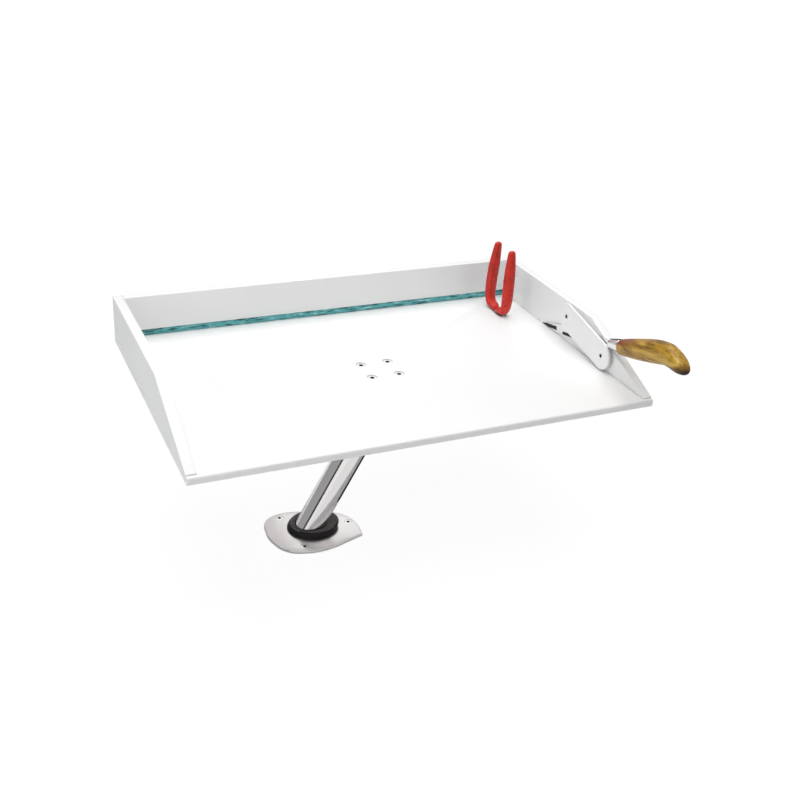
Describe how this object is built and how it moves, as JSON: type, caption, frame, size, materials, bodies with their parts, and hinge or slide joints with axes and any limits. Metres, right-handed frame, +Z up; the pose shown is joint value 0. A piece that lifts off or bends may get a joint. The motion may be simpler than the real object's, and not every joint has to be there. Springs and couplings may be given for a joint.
{
  "type": "cutting table",
  "caption": "White tray-shaped cutting table with a knife guard and pliers slot, on a leaning post that drops into a flush deck holder.",
  "frame": {"origin": "where the post's axis meets the deck plane, under the holder's flange", "axes": "+X along the board to the knife's side and the way the post leans, +Y to the back wall, +Z up"},
  "size_m": [0.6096, 0.4506, 0.5553],
  "materials": {
    "white_board": "white polyethylene board with a faint grain",
    "sea_green_strip": "sea-green strip with paler and darker streaks",
    "stainless": "polished stainless steel",
    "cast_alloy": "tumbled cast aluminium",
    "black_rubber": "smooth moulded rubber",
    "black_plastic": "moulded black plastic",
    "natural_nylon": "turned natural nylon",
    "brass": "turned brass",
    "red_dip": "glossy dipped vinyl",
    "forged_steel": "dark forged steel",
    "horn_handle": "polished amber horn-like moulding with brown streaks"
  },
  "bodies": {
    "rod_holder": {"holder_flange": "stainless", "holder_barrel": "stainless", "holder_liner": "black_rubber", "holder_cap": "black_rubber", "gimbal_pin": "stainless", "deck_screw_1": "stainless", "deck_screw_2": "stainless", "deck_screw_3": "stainless"},
    "post": {"post_tube": "stainless", "post_head": "cast_alloy", "head_rivet": "stainless", "gimbal_end": "natural_nylon"},
    "tray": {"cutting_board": "white_board", "back_wall": "white_board", "left_wall": "white_board", "right_wall": "white_board", "wall_seal_strip": "sea_green_strip", "tray_screw_1": "stainless", "tray_screw_2": "stainless", "tray_screw_3": "stainless", "tray_screw_4": "stainless", "tray_bracket": "cast_alloy", "friction_disc_front": "black_plastic", "friction_disc_rear": "black_plastic", "clamp_washer": "stainless", "pivot_bolt": "stainless", "knife_guard": "white_board", "guard_front_spacer": "white_board", "guard_rear_spacer": "white_board", "guard_front_screw": "stainless", "guard_rear_screw": "stainless", "back_wall_screw_1": "stainless", "back_wall_screw_2": "stainless", "back_wall_screw_3": "stainless", "back_wall_screw_4": "stainless", "left_wall_screw_1": "stainless", "left_wall_screw_2": "stainless", "left_wall_screw_3": "stainless", "right_wall_screw_1": "stainless", "right_wall_screw_2": "stainless", "right_wall_screw_3": "stainless"},
    "knob": {"clamp_knob": "black_plastic", "knob_insert": "brass"},
    "knife": {"knife_blade": "stainless", "knife_ferrule": "stainless", "knife_handle": "horn_handle"},
    "pliers": {"plier_half_front": "forged_steel", "plier_grip_front": "red_dip", "plier_rivet": "stainless"},
    "plier_swing": {"plier_half_rear": "forged_steel", "plier_grip_rear": "red_dip"}
  },
  "joints": [
    {"name": "post_lift", "type": "slide", "parent": "rod_holder", "child": "post", "axis": [0.4695, 0, 0.8829], "range_m": [0, 0.2]},
    {"name": "head_tilt", "type": "hinge", "parent": "post", "child": "tray", "pos_m": [0.09677, 0, 0.182], "axis": [0, 1, 0], "range_deg": [-17, 28]},
    {"name": "knob_turn", "type": "hinge", "parent": "tray", "child": "knob", "pos_m": [0.09677, 0, 0.182], "axis": [0, -1, 0], "range_deg": [0, 720]},
    {"name": "knife_draw", "type": "slide", "parent": "tray", "child": "knife", "axis": [0, -0.9789, 0.2045], "range_m": [0, 0.17]},
    {"name": "plier_lift", "type": "slide", "parent": "tray", "child": "pliers", "axis": [0, 0, 1], "range_m": [0, 0.075]},
    {"name": "plier_squeeze", "type": "hinge", "parent": "pliers", "child": "plier_swing", "pos_m": [0.34437, 0.1262, 0.22459], "axis": [1, 0, 0], "range_deg": [0, 5.7]}
  ]
}
